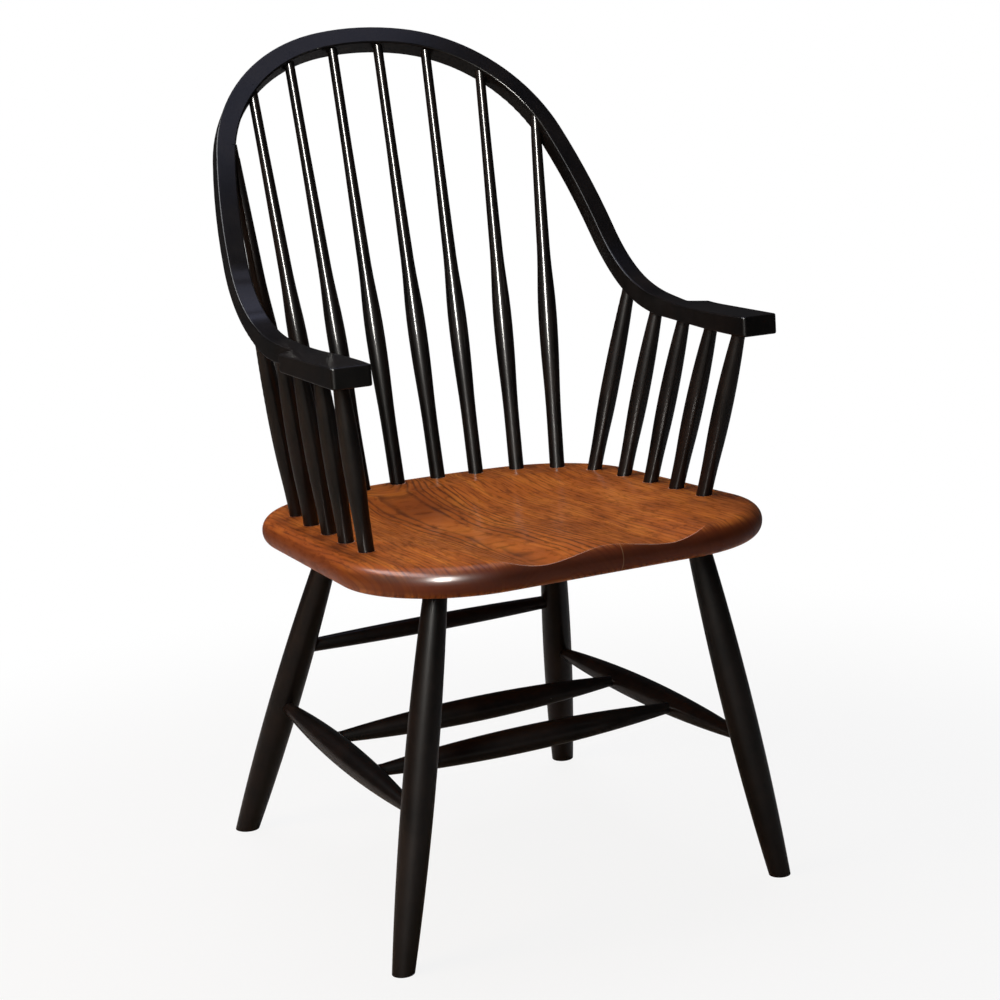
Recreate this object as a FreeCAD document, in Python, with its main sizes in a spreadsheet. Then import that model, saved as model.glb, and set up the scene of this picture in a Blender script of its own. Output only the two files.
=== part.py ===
import FreeCAD, Part
import math
import os
import Sketcher
from FreeCAD import Placement, Rotation, Vector

# Windsor armchair with a continuous arm. Millimetres; +Z is up and the sitter faces -Y.
# The origin is on the floor, under the middle of the chair's width and depth.
# A setback is a distance behind the front edge of the seat.

SIZES = {
    # seat: boards glued edge to edge, with a full round edge and a dished top
    "seat_front_y": -320.8,
    "seat_height": 457.0,
    "seat_thickness": 35.0,
    "seat_front_width": 526.0,
    "seat_back_width": 496.0,
    "seat_depth": 545.0,
    "seat_back_bulge": 45.0,
    "seat_front_corner": 142.0,
    "seat_back_corner": 150.0,
    "seat_edge_round": 17.2,
    "seat_board_width": 128.0,
    "seat_first_joint": 16.0,
    "dish_depth": 15.0,
    "dish_width": 390.0,
    "dish_middle_setback": 300.0,
    "dish_back_setback": 452.0,
    "thigh_hollow_depth": 10.0,
    "thigh_hollow_spacing": 156.0,
    "pommel_drop": 2.0,
    # legs: a slim swell turned on the lathe, a round tenon at the top, the sole cut level
    "front_leg_spread": 329.6,
    "front_leg_setback": 95.0,
    "front_foot_spread": 493.0,
    "front_foot_setback": 77.0,
    "back_leg_spread": 302.0,
    "back_leg_inset": 109.0,
    "back_foot_spread": 479.0,
    "back_foot_reach": 80.5,
    "front_leg_swell_diameter": 37.0,
    "front_leg_foot_diameter": 25.5,
    "front_leg_swell_height": 216.0,
    "back_leg_swell_diameter": 39.0,
    "back_leg_foot_diameter": 30.0,
    "back_leg_swell_height": 205.0,
    "leg_tenon_diameter": 25.0,
    "leg_tenon_depth": 21.0,
    # stretchers
    "side_stretcher_front_height": 175.0,
    "side_stretcher_back_height": 186.0,
    "side_stretcher_diameter": 32.5,
    "middle_stretcher_diameter": 32.0,
    "front_middle_setback": 236.0,
    "rear_middle_setback": 375.0,
    "rear_stretcher_height": 267.0,
    "rear_stretcher_diameter": 22.3,
    "stretcher_tenon_diameter": 14.5,
    "rear_stretcher_tenon_diameter": 17.5,
    "stretcher_neck": 4.0,
    "leg_socket_stop": 4.0,
    "stretcher_socket_stop": 3.0,
    # spindles
    "spindle_seat_depth": 21.0,
    "spindle_tenon_lead": 6.0,
    "long_spindle_foot_diameter": 19.4,
    "long_spindle_foot_height": 57.0,
    "long_spindle_swell_diameter": 24.5,
    "long_spindle_swell_height": 188.0,
    "long_spindle_neck_diameter": 16.7,
    "long_spindle_neck_height": 305.0,
    "long_spindle_waist_diameter": 13.6,
    "long_spindle_waist_height": 432.0,
    "long_spindle_tip_diameter": 12.8,
    "long_spindle_bow_depth": 14.0,
    "short_spindle_foot_diameter": 18.3,
    "short_spindle_foot_height": 8.0,
    "short_spindle_swell_diameter": 22.7,
    "short_spindle_swell_height": 106.0,
    "short_spindle_tip_diameter": 16.0,
    "short_spindle_bow_depth": 11.0,
    # bow: one bent strip that is both arms and the crest
    "bow_width": 24.0,
    "bow_thickness": 23.7,
    "bow_lean": 32.75,
    "bow_setback": 220.0,
    "bow_rise": 678.6,
    "bow_crown_radius": 325.0,
    "bow_crown_turn": 10.0,
    "bow_shoulder_radius": 208.5,
    "bow_shoulder_turn": 66.2,
    "bow_flank_radius": 960.0,
    "bend_start": 366.0,
    "bend_radius": 169.4,
    "bend_turn": 34.8,
    "elbow_radius": 224.0,
    "elbow_turn": 13.4,
    "arm_radius": 790.0,
    "arm_slope": 1.7,
    "arm_tip_setback": 73.0,
    "arm_tip_thickness": 23.3,
    "arm_underside_slope": 3.1,
    "arm_underside_radius": 210.0,
    "arm_straight_setback": 316.0,
    "arm_inward_radius": 600.0,
    "arm_inward_turn": 5.4,
    "arm_inward_length": 78.0,
    "arm_outward_radius": 641.0,
    "arm_outward_turn": 9.5,
    "arm_outward_length": 155.0,
    "elbow_lap": 30.0,
    "edge_round": 2.0,
    # hand blocks: glued to the outer side of each arm, the left one a little shorter
    "hand_tip_width": 21.3,
    "left_hand_back_width": 23.1,
    "left_hand_length": 144.5,
    "right_hand_back_width": 22.0,
    "right_hand_length": 156.3,
    "hand_scarf_length": 14.0,
    "hand_corner": 4.5,
    "hand_back_corner": 4.0,
    # round tenons are a glue fit in blind sockets
    "glue_gap": 0.05,
    "socket_end_gap": 0.5,
}

# each pair of short spindles, front to rear: seat half spread and setback, and the setback in the
# left and in the right arm, bored by eye
SHORT_SPINDLES = (
    (216.8, 160.0, 143.0, 100.5),
    (215.9, 222.0, 192.5, 161.5),
    (213.9, 280.6, 243.5, 234.0),
    (211.9, 343.8, 286.0, 307.0),
    (205.0, 410.3, 352.0, 373.0),
)
# each pair of long spindles, from the outside in: seat half spread, how far before the seat's
# back edge, and where the left and the right one stand in the bow, bored by eye
LONG_SPINDLES = (
    (178.0, 82.0, 210.0, 206.0),
    (133.3, 51.4, 163.0, 152.0),
    (79.9, 38.6, 103.3, 86.0),
    (28.5, 30.6, 40.5, 22.5),
)
for number, (spread, setback, left_setback, right_setback) in enumerate(SHORT_SPINDLES, 1):
    SIZES[f"short_spindle_{number}_spread"] = spread
    SIZES[f"short_spindle_{number}_setback"] = setback
    SIZES[f"left_short_spindle_{number}_arm_setback"] = left_setback
    SIZES[f"right_short_spindle_{number}_arm_setback"] = right_setback
for number, (spread, inset, left_spread, right_spread) in enumerate(LONG_SPINDLES, 1):
    SIZES[f"long_spindle_{number}_spread"] = spread
    SIZES[f"long_spindle_{number}_inset"] = inset
    SIZES[f"left_long_spindle_{number}_bow_spread"] = left_spread
    SIZES[f"right_long_spindle_{number}_bow_spread"] = right_spread

doc = FreeCAD.newDocument("windsor_armchair")
sheet = doc.addObject("Spreadsheet::Sheet", "Sizes")
for row, (alias, number) in enumerate(SIZES.items(), 1):
    sheet.set(f"A{row}", alias)
    sheet.set(f"B{row}", str(number))
    sheet.setAlias(f"B{row}", alias)
doc.recompute()
size = {alias: float(sheet.get(alias)) for alias in SIZES}

pieces = {}
SIDES = (("left", -1), ("right", 1))
# how close counts as touching and as the same place, and the angle from which an edge is sharp
TOUCHING = 1e-6
NEAR = 0.01
SHARP = math.radians(20)


def worked_out(alias, number):
    """Keep a length that follows from the driving sizes in the sheet too."""
    row = len(size) + 1
    sheet.set(f"A{row}", alias)
    sheet.set(f"B{row}", repr(number))
    sheet.setAlias(f"B{row}", alias)
    size[alias] = number
    sheet.recompute()


worked_out("back_leg_setback", size["seat_depth"] - size["back_leg_inset"])
worked_out("back_foot_setback", size["seat_depth"] + size["back_foot_reach"])


def keep(piece, label):
    piece.Label = label
    pieces[label] = piece
    return piece


def from_front(setback):
    return size["seat_front_y"] + setback


def along(low, high):
    """The placement of a piece whose own Z axis runs from low to high."""
    return Placement(low, Rotation(Vector(0, 0, 1), high - low))


def mirrored(point, side):
    return Vector(side * point.x, point.y, point.z)


def attached_sketch(body, role, name):
    sketch = body.newObject("Sketcher::SketchObject", name)
    plane = next(item for item in body.Origin.OriginFeatures if item.Role == role)
    sketch.AttachmentSupport = [(plane, "")]
    sketch.MapMode = "FlatFace"
    return sketch


def hold(sketch, kind, references, expression, start):
    """Add a constraint whose value follows the sheet; start is its value as drawn."""
    index = sketch.addConstraint(Sketcher.Constraint(kind, *references, start))
    sketch.setExpression(f"Constraints[{index}]", expression)


# Turned pieces: half a profile, swept round the piece's own Z axis.
START, END, CENTRE = range(1, 4)
ORIGIN = (-1, START)
X_AXIS, Y_AXIS = -1, -2


def line(x1, y1, x2, y2):
    return Part.LineSegment(Vector(x1, y1, 0), Vector(x2, y2, 0))


def arc(centre_x, centre_y, radius, first, last):
    """An arc drawn anticlockwise between two angles in degrees."""
    circle = Part.Circle(Vector(centre_x, centre_y, 0), Vector(0, 0, 1), radius)
    return Part.ArcOfCircle(circle, math.radians(first), math.radians(last))


def draw(sketch, elements):
    """Draw a closed profile. elements: (geometry, its first end, its last end, smooth or not)."""
    for geometry, first, last, smooth in elements:
        sketch.addGeometry(geometry)
    for index, (geometry, first, last, smooth) in enumerate(elements):
        following = (index + 1) % len(elements)
        kind = "Tangent" if smooth else "Coincident"
        next_end = elements[following][1]
        sketch.addConstraint(Sketcher.Constraint(kind, index, last, following, next_end))


def revolved(body, sketch):
    turning = body.newObject("PartDesign::Revolution", body.Name + "_turning")
    turning.Profile = sketch
    turning.ReferenceAxis = (sketch, ["V_Axis"])
    turning.Angle = 360
    body.Tip = turning
    return body


def turned_leg(name, kind, foot, top, length, shoulder):
    """A leg from the floor to its shoulder under the seat, with a round tenon above."""
    swell = size[f"{kind}_leg_swell_diameter"] / 2
    foot_radius = size[f"{kind}_leg_foot_diameter"] / 2
    height = size[f"{kind}_leg_swell_height"]
    radius = ((swell - foot_radius) ** 2 + height ** 2) / (2 * (swell - foot_radius))
    low = -size["leg_spare"]
    low_angle = math.degrees(math.asin((low - height) / radius))
    high_angle = math.degrees(math.asin((shoulder - height) / radius))
    low_radius = swell - radius + radius * math.cos(math.radians(low_angle))
    high_radius = swell - radius + radius * math.cos(math.radians(high_angle))
    tenon = size["leg_tenon_diameter"] / 2
    body = doc.addObject("PartDesign::Body", name + "_turned")
    sketch = attached_sketch(body, "XZ_Plane", name + "_profile")
    draw(sketch, (
        (line(0, low, low_radius, low), START, END, False),
        (arc(swell - radius, height, radius, low_angle, high_angle), START, END, False),
        (line(high_radius, shoulder, tenon, shoulder), START, END, False),
        (line(tenon, shoulder, tenon, length), START, END, False),
        (line(tenon, length, 0, length), START, END, False),
        (line(0, length, 0, low), START, END, False),
    ))
    for index, kind_of_line in ((0, "Horizontal"), (2, "Horizontal"), (3, "Vertical"),
                                (4, "Horizontal"), (5, "Vertical")):
        sketch.addConstraint(Sketcher.Constraint(kind_of_line, index))
    sketch.addConstraint(Sketcher.Constraint("PointOnObject", 0, START, Y_AXIS))
    sizes = "Sizes." + kind
    swell_radius = f"{sizes}_leg_swell_diameter / 2"
    drop = f"({sizes}_leg_swell_diameter - {sizes}_leg_foot_diameter) / 2"
    arc_radius = f"(({drop})^2 + {sizes}_leg_swell_height^2) / (2 * ({drop}))"
    hold(sketch, "DistanceY", (*ORIGIN, 0, START), "-Sizes.leg_spare", low)
    hold(sketch, "Radius", (1,), arc_radius, radius)
    hold(sketch, "DistanceX", (*ORIGIN, 1, CENTRE), f"{swell_radius} - ({arc_radius})", swell - radius)
    hold(sketch, "DistanceY", (*ORIGIN, 1, CENTRE), f"{sizes}_leg_swell_height", height)
    hold(sketch, "DistanceY", (*ORIGIN, 2, START), f"{sizes}_leg_shoulder", shoulder)
    hold(sketch, "DistanceX", (*ORIGIN, 3, START), "Sizes.leg_tenon_diameter / 2", tenon)
    hold(sketch, "DistanceY", (*ORIGIN, 4, START), f"{sizes}_leg_length", length)
    body.Placement = along(foot, top)
    return revolved(body, sketch)


def turned_stretcher(name, kind, tenon_size, span, low, high):
    """A stretcher that swells to the middle and ends in straight round tenons."""
    swell = size[f"{kind}_stretcher_diameter"] / 2
    tenon = size[tenon_size] / 2
    length = size[f"{span}_length"]
    shown = size[f"{span}_shown"]
    lead = (length - shown) / 2
    radius = ((swell - tenon) ** 2 + (shown / 2) ** 2) / (2 * (swell - tenon))
    turn = math.degrees(math.asin(shown / 2 / radius))
    body = doc.addObject("PartDesign::Body", name + "_turned")
    sketch = attached_sketch(body, "XZ_Plane", name + "_profile")
    draw(sketch, (
        (line(0, 0, tenon, 0), START, END, False),
        (line(tenon, 0, tenon, lead), START, END, False),
        (arc(swell - radius, length / 2, radius, -turn, turn), START, END, False),
        (line(tenon, length - lead, tenon, length), START, END, False),
        (line(tenon, length, 0, length), START, END, False),
        (line(0, length, 0, 0), START, END, False),
    ))
    for index, kind_of_line in ((0, "Horizontal"), (1, "Vertical"), (3, "Vertical"),
                                (4, "Horizontal"), (5, "Vertical")):
        sketch.addConstraint(Sketcher.Constraint(kind_of_line, index))
    sketch.addConstraint(Sketcher.Constraint("Coincident", 0, START, *ORIGIN))
    sketch.addConstraint(Sketcher.Constraint("Equal", 0, 4))
    drop = f"(Sizes.{kind}_stretcher_diameter - Sizes.{tenon_size}) / 2"
    arc_radius = f"(({drop})^2 + (Sizes.{span}_shown / 2)^2) / (2 * ({drop}))"
    lead_text = f"(Sizes.{span}_length - Sizes.{span}_shown) / 2"
    hold(sketch, "DistanceX", (*ORIGIN, 0, END), f"Sizes.{tenon_size} / 2", tenon)
    hold(sketch, "DistanceY", (*ORIGIN, 1, END), lead_text, lead)
    hold(sketch, "Radius", (2,), arc_radius, radius)
    hold(sketch, "DistanceY", (2, START, 2, END), f"Sizes.{span}_shown", shown)
    hold(sketch, "DistanceY", (*ORIGIN, 4, END), f"Sizes.{span}_length", length)
    body.Placement = along(low, high)
    return revolved(body, sketch)


def ogee_radius(rise, length):
    """Two equal arcs that leave and arrive parallel to the axis, rise apart."""
    return (rise ** 2 + length ** 2) / (4 * rise)


def turned_spindle(name, kind, low, high):
    """A spindle from its foot in the seat, through its swell, to the straight tenon in the bow.
    A long one is hollowed to a neck and tapers on; a short one rounds off up to its tenon."""
    depth = size["spindle_seat_depth"]
    foot = size[f"{kind}_spindle_foot_diameter"] / 2
    foot_height = size[f"{kind}_spindle_foot_height"]
    swell = size[f"{kind}_spindle_swell_diameter"] / 2
    swell_height = size[f"{kind}_spindle_swell_height"]
    tip = size[f"{kind}_spindle_tip_diameter"] / 2
    length = (high - low).Length
    shown = length - size[f"{kind}_spindle_bow_depth"] - size["spindle_tenon_lead"]
    lower = ogee_radius(swell - foot, swell_height - foot_height)
    lower_turn = math.degrees(math.asin((swell_height - foot_height) / 2 / lower))
    profile = [
        (line(0, -depth, foot, -depth), START, END, False),
        (line(foot, -depth, foot, foot_height), START, END, True),
        (arc(foot + lower, foot_height, lower, 180 - lower_turn, 180), END, START, True),
        (arc(swell - lower, swell_height, lower, -lower_turn, 0), START, END, True),
    ]
    if kind == "long":
        neck, neck_height = size["long_spindle_neck_diameter"] / 2, size["long_spindle_neck_height"]
        waist, waist_height = size["long_spindle_waist_diameter"] / 2, size["long_spindle_waist_height"]
        upper = ogee_radius(swell - neck, neck_height - swell_height)
        upper_turn = math.degrees(math.asin((neck_height - swell_height) / 2 / upper))
        profile += [
            (arc(swell - upper, swell_height, upper, 0, upper_turn), START, END, True),
            (arc(neck + upper, neck_height, upper, 180, 180 + upper_turn), END, START, False),
            (line(neck, neck_height, waist, waist_height), START, END, False),
            (line(waist, waist_height, tip, shown), START, END, False),
        ]
    else:
        rise = shown - swell_height
        upper = ((swell - tip) ** 2 + rise ** 2) / (2 * (swell - tip))
        upper_turn = math.degrees(math.asin(rise / upper))
        profile.append((arc(swell - upper, swell_height, upper, 0, upper_turn), START, END, False))
    tenon = len(profile)
    profile += [
        (line(tip, shown, tip, length), START, END, False),
        (line(tip, length, 0, length), START, END, False),
        (line(0, length, 0, -depth), START, END, False),
    ]
    body = doc.addObject("PartDesign::Body", name + "_turned")
    sketch = attached_sketch(body, "XZ_Plane", name + "_profile")
    draw(sketch, profile)
    for index, kind_of_line in ((0, "Horizontal"), (1, "Vertical"), (tenon, "Vertical"),
                                (tenon + 1, "Horizontal"), (tenon + 2, "Vertical")):
        sketch.addConstraint(Sketcher.Constraint(kind_of_line, index))
    sketch.addConstraint(Sketcher.Constraint("PointOnObject", 0, START, Y_AXIS))
    sketch.addConstraint(Sketcher.Constraint("Equal", 2, 3))
    sizes = f"Sizes.{kind}_spindle"
    hold(sketch, "DistanceY", (0, START, *ORIGIN), "Sizes.spindle_seat_depth", depth)
    hold(sketch, "DistanceX", (*ORIGIN, 0, END), f"{sizes}_foot_diameter / 2", foot)
    hold(sketch, "DistanceY", (*ORIGIN, 1, END), f"{sizes}_foot_height", foot_height)
    hold(sketch, "DistanceX", (*ORIGIN, 3, END), f"{sizes}_swell_diameter / 2", swell)
    hold(sketch, "DistanceY", (*ORIGIN, 3, END), f"{sizes}_swell_height", swell_height)
    hold(sketch, "DistanceY", (*ORIGIN, 3, CENTRE), f"{sizes}_swell_height", swell_height)
    if kind == "long":
        sketch.addConstraint(Sketcher.Constraint("Equal", 4, 5))
        hold(sketch, "DistanceX", (*ORIGIN, 6, START), f"{sizes}_neck_diameter / 2", neck)
        hold(sketch, "DistanceY", (*ORIGIN, 6, START), f"{sizes}_neck_height", neck_height)
        hold(sketch, "DistanceY", (*ORIGIN, 5, CENTRE), f"{sizes}_neck_height", neck_height)
        hold(sketch, "DistanceX", (*ORIGIN, 7, START), f"{sizes}_waist_diameter / 2", waist)
        hold(sketch, "DistanceY", (*ORIGIN, 7, START), f"{sizes}_waist_height", waist_height)
    shown_text = f"Sizes.{name}_length - {sizes}_bow_depth - Sizes.spindle_tenon_lead"
    hold(sketch, "DistanceX", (*ORIGIN, tenon, START), f"{sizes}_tip_diameter / 2", tip)
    hold(sketch, "DistanceY", (*ORIGIN, tenon, START), shown_text, shown)
    hold(sketch, "DistanceY", (*ORIGIN, tenon + 1, START), f"Sizes.{name}_length", length)
    body.Placement = along(low, high)
    return revolved(body, sketch)


def socket(name, diameter, low, high):
    """The hole for a round tenon, from low to high, with its glue gap."""
    hole = doc.addObject("Part::Cylinder", name)
    hole.setExpression("Radius", f"Sizes.{diameter} / 2 + Sizes.glue_gap")
    hole.Height = (high - low).Length
    hole.Placement = along(low, high)
    return hole


def cut(base, tools, label):
    """base with the tools cut away, as the finished piece of that name."""
    joined = doc.addObject("Part::MultiFuse", label + "_cuts")
    joined.Shapes = tools
    piece = doc.addObject("Part::Cut", label)
    piece.Base = base
    piece.Tool = joined if len(tools) > 1 else tools[0]
    if len(tools) == 1:
        doc.removeObject(joined.Name)
    return keep(piece, label)


# Where the pieces run.
deck = size["seat_height"]
underside = deck - size["seat_thickness"]


def leg_axis(kind, side):
    foot = Vector(side * size[f"{kind}_foot_spread"] / 2, from_front(size[f"{kind}_foot_setback"]), 0)
    top = Vector(side * size[f"{kind}_leg_spread"] / 2, from_front(size[f"{kind}_leg_setback"]), underside)
    return foot, top


def on_leg(kind, side, height):
    foot, top = leg_axis(kind, side)
    return foot + (top - foot) * (height / top.z)


def leg_radius(kind, height):
    swell = size[f"{kind}_leg_swell_diameter"] / 2
    foot = size[f"{kind}_leg_foot_diameter"] / 2
    swell_height = size[f"{kind}_leg_swell_height"]
    radius = ((swell - foot) ** 2 + swell_height ** 2) / (2 * (swell - foot))
    return swell - radius + math.sqrt(radius ** 2 - (height - swell_height) ** 2)


def side_axis(side):
    """The side stretcher's axis, from the back leg's to the front leg's."""
    back = on_leg("back", side, size["side_stretcher_back_height"])
    front = on_leg("front", side, size["side_stretcher_front_height"])
    return back, front


def on_side_axis(side, setback):
    back, front = side_axis(side)
    return back + (front - back) * ((from_front(setback) - back.y) / (front.y - back.y))


def shortened(low, high, stop):
    """The two points moved towards each other by stop."""
    way = (high - low).normalize()
    return low + way * stop, high - way * stop


# Legs, with their soles cut level.
worked_out("leg_spare", size["back_leg_foot_diameter"])
seat_sockets = []
leg_sockets = {}
for kind in ("front", "back"):
    foot, top = leg_axis(kind, 1)
    reach = (top - foot).Length
    lean = math.hypot(top.x - foot.x, top.y - foot.y) / top.z
    worked_out(f"{kind}_leg_length", reach + size["leg_tenon_depth"])
    worked_out(f"{kind}_leg_shoulder", reach - size["leg_tenon_diameter"] * lean)

# Stretchers: their whole length, and the swelled part that stands clear of what holds them.
back, front = side_axis(1)
low, high = shortened(back, front, size["leg_socket_stop"])
worked_out("side_stretcher_length", (high - low).Length)
held = leg_radius("back", back.z) + leg_radius("front", front.z) + 2 * size["stretcher_neck"]
worked_out("side_stretcher_shown", (front - back).Length - held)
rear_half = on_leg("back", 1, size["rear_stretcher_height"]).x
worked_out("rear_stretcher_length", 2 * (rear_half - size["leg_socket_stop"]))
held = leg_radius("back", size["rear_stretcher_height"]) + size["stretcher_neck"]
worked_out("rear_stretcher_shown", 2 * (rear_half - held))
MIDDLES = ("front_middle", "rear_middle")
for kind in MIDDLES:
    half = on_side_axis(1, size[f"{kind}_setback"]).x
    worked_out(f"{kind}_length", 2 * (half - size["stretcher_socket_stop"]))
    held = size["side_stretcher_diameter"] / 2 + size["stretcher_neck"]
    worked_out(f"{kind}_shown", 2 * (half - held))

side_sockets = {"left": [], "right": []}
for kind in MIDDLES:
    ends = [on_side_axis(side, size[f"{kind}_setback"]) for name, side in SIDES]
    low, high = shortened(*ends, size["stretcher_socket_stop"])
    stretcher = turned_stretcher(f"{kind}_stretcher", "middle", "stretcher_tenon_diameter",
                                 kind, low, high)
    keep(stretcher, f"{kind}_stretcher")
    bottom, other_bottom = shortened(low, high, -size["socket_end_gap"])
    middle = (low + high) / 2
    for name, end in (("left", bottom), ("right", other_bottom)):
        side_sockets[name].append(socket(f"{kind}_{name}_socket", "stretcher_tenon_diameter", middle, end))

rear_low = on_leg("back", -1, size["rear_stretcher_height"])
rear_high = on_leg("back", 1, size["rear_stretcher_height"])
low, high = shortened(rear_low, rear_high, size["leg_socket_stop"])
keep(turned_stretcher("rear_stretcher", "rear", "rear_stretcher_tenon_diameter",
                      "rear_stretcher", low, high), "rear_stretcher")
bottom, other_bottom = shortened(low, high, -size["socket_end_gap"])
middle = (low + high) / 2
for kind in ("front", "back"):
    for name, side in SIDES:
        leg_sockets[kind, name] = []
for name, end in (("left", bottom), ("right", other_bottom)):
    hole = socket(f"rear_{name}_socket", "rear_stretcher_tenon_diameter", middle, end)
    leg_sockets["back", name].append(hole)

for name, side in SIDES:
    back, front = side_axis(side)
    low, high = shortened(back, front, size["leg_socket_stop"])
    stretcher = turned_stretcher(f"{name}_side_stretcher", "side", "stretcher_tenon_diameter",
                                 "side_stretcher", low, high)
    cut(stretcher, side_sockets[name], f"{name}_side_stretcher")
    bottom, other_bottom = shortened(low, high, -size["socket_end_gap"])
    middle = (low + high) / 2
    for kind, end in (("back", bottom), ("front", other_bottom)):
        hole = socket(f"{name}_{kind}_leg_socket", "stretcher_tenon_diameter", middle, end)
        leg_sockets[kind, name].append(hole)

for kind in ("front", "back"):
    for name, side in SIDES:
        foot, top = leg_axis(kind, side)
        label = f"{kind}_{name}_leg"
        leg = turned_leg(label, kind, foot, top, size[f"{kind}_leg_length"], size[f"{kind}_leg_shoulder"])
        floor = doc.addObject("Part::Box", label + "_floor")
        for edge in ("Length", "Width", "Height"):
            floor.setExpression(edge, "4 * Sizes.leg_spare")
        spare = size["leg_spare"]
        floor.Placement.Base = foot - Vector(2 * spare, 2 * spare, 4 * spare)
        cut(leg, [floor, *leg_sockets[kind, name]], label)
        way = (top - foot).normalize()
        end = top + way * (size["leg_tenon_depth"] + size["socket_end_gap"])
        low = top - way * size["leg_tenon_diameter"]
        seat_sockets.append(socket(label + "_seat_socket", "leg_tenon_diameter", low, end))

# The bow's outlines. The back of the bow lies in a leaning plane, where rise is measured up the
# slope from seat height; the arms are drawn from above, and the thickness from the side.
LEAN = math.radians(size["bow_lean"])
UP_SLOPE = Vector(0, math.sin(LEAN), math.cos(LEAN))
BEHIND = Vector(0, math.cos(LEAN), -math.sin(LEAN))
SLOPE_FOOT = Vector(0, from_front(size["bow_setback"]), deck)
TOP_RISE = size["bow_rise"] + 2 * size["bow_width"]
TIP_Y = from_front(size["arm_tip_setback"])
STRAIGHT_Y = from_front(size["arm_straight_setback"])
HALF_WIDTH = size["bow_width"] / 2
X_WIDE = 2 * size["seat_front_width"]


def heading(angle):
    return Vector(math.cos(math.radians(angle)), math.sin(math.radians(angle)), 0)


def run(start, angle, steps, shift=0):
    """Draw steps one after another: (length,) or (radius, turn), a left turn being positive.
    The line drawn lies shift to the left of the path. Returns its edges and the path's end."""
    edges = []
    place = start
    for step in steps:
        left = heading(angle + 90)
        if len(step) == 1:
            following = place + heading(angle) * step[0]
            edges.append(Part.LineSegment(place + left * shift, following + left * shift).toShape())
            place = following
            continue
        radius, turn = step
        bend = math.copysign(1, turn)
        centre = place + left * (bend * radius)
        drawn = radius - bend * shift
        points = [centre - heading(angle + 90 + part * turn) * (bend * drawn) for part in (0, 0.5, 1)]
        edges.append(Part.Arc(*points).toShape())
        place = centre - heading(angle + 90 + turn) * (bend * radius)
        angle += turn
    return edges, place, angle


def joined_face(edges):
    return Part.Face(Part.Wire(Part.__sortEdges__(edges)))


def in_side_view(point):
    return Vector(point.y, point.z, 0)


# front and top face, from above the crest down the back, round the bend and along the arm
back_heading = -90 - size["bow_lean"]
arm_heading = -180 + size["arm_slope"]
last_turn = arm_heading - back_heading + size["bend_turn"] + size["elbow_turn"]
top_start = in_side_view(SLOPE_FOOT + UP_SLOPE * TOP_RISE)
bends = (
    (TOP_RISE - size["bend_start"],),
    (size["bend_radius"], -size["bend_turn"]),
    (size["elbow_radius"], -size["elbow_turn"]),
    (size["arm_radius"], last_turn),
)
front_edges, arm_start, arm_angle = run(top_start, back_heading, bends)
arm_length = (arm_start.x - TIP_Y) / math.cos(math.radians(size["arm_slope"]))
arm_edges, tip_top, arm_angle = run(arm_start, arm_heading, ((arm_length,),))
# underside and back, from the tip up
tip_bottom = tip_top - Vector(0, size["arm_tip_thickness"], 0)
arm_way = heading(size["arm_underside_slope"])
back_way = heading(90 - size["bow_lean"])
back_foot = in_side_view(SLOPE_FOOT + BEHIND * size["bow_thickness"])
across = back_way.x * arm_way.y - back_way.y * arm_way.x
offset = tip_bottom - back_foot
corner = back_foot + back_way * ((offset.x * arm_way.y - offset.y * arm_way.x) / across)
under_turn = 90 - size["bow_lean"] - size["arm_underside_slope"]
tangent = size["arm_underside_radius"] * math.tan(math.radians(under_turn / 2))
under_length = (corner - tip_bottom).Length - tangent
back_length = TOP_RISE - (corner - back_foot).dot(back_way) - tangent
under_steps = ((under_length,), (size["arm_underside_radius"], under_turn), (back_length,))
under_edges, top_end, angle = run(tip_bottom, size["arm_underside_slope"], under_steps)
ends = [Part.LineSegment(tip_top, tip_bottom).toShape(), Part.LineSegment(top_end, top_start).toShape()]
side_face = joined_face([*front_edges, *arm_edges, *under_edges, *ends])
side_face.Placement = Placement(Vector(-X_WIDE / 2, 0, 0), Rotation(Vector(1, 1, 1), 120))
side_band = side_face.extrude(Vector(X_WIDE, 0, 0))

# the back's outline, half of it from the crown to where the flank runs straight down the slope
flank_turn = 90 - size["bow_crown_turn"] - size["bow_shoulder_turn"]
crown_steps = (
    (size["bow_crown_radius"], -size["bow_crown_turn"]),
    (size["bow_shoulder_radius"], -size["bow_shoulder_turn"]),
    (size["bow_flank_radius"], -flank_turn),
)
crown = Vector(0, size["bow_rise"], 0)
half_edges, flank_end, angle = run(crown, 0, crown_steps)
FLANK_X = flank_end.x


def arm_underside(y):
    """Height of the arm's underside, along the arm and into the bend."""
    if y < under_bend_start.x:
        return tip_bottom.y + (y - TIP_Y) * arm_way.y / arm_way.x
    centre = under_bend_start + heading(size["arm_underside_slope"] + 90) * size["arm_underside_radius"]
    return centre.y - math.sqrt(size["arm_underside_radius"] ** 2 - (y - centre.x) ** 2)


# at the elbow both outlines run straight, and the one takes over from the other
under_bend_start = tip_bottom + arm_way * under_length
ELBOW_Y = STRAIGHT_Y + size["elbow_lap"]
elbow_back = Vector(0, ELBOW_Y, arm_underside(ELBOW_Y)) - SLOPE_FOOT
elbow_rise = elbow_back.dot(UP_SLOPE) - size["glue_gap"]
straight_steps = (*crown_steps, (flank_end.y - elbow_rise,))


def flipped(edges, side):
    """The edges as drawn for the right side, or mirrored for the left one."""
    if side > 0:
        return edges
    return [edge.mirror(Vector(0, 0, 0), Vector(1, 0, 0)) for edge in edges]


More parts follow.
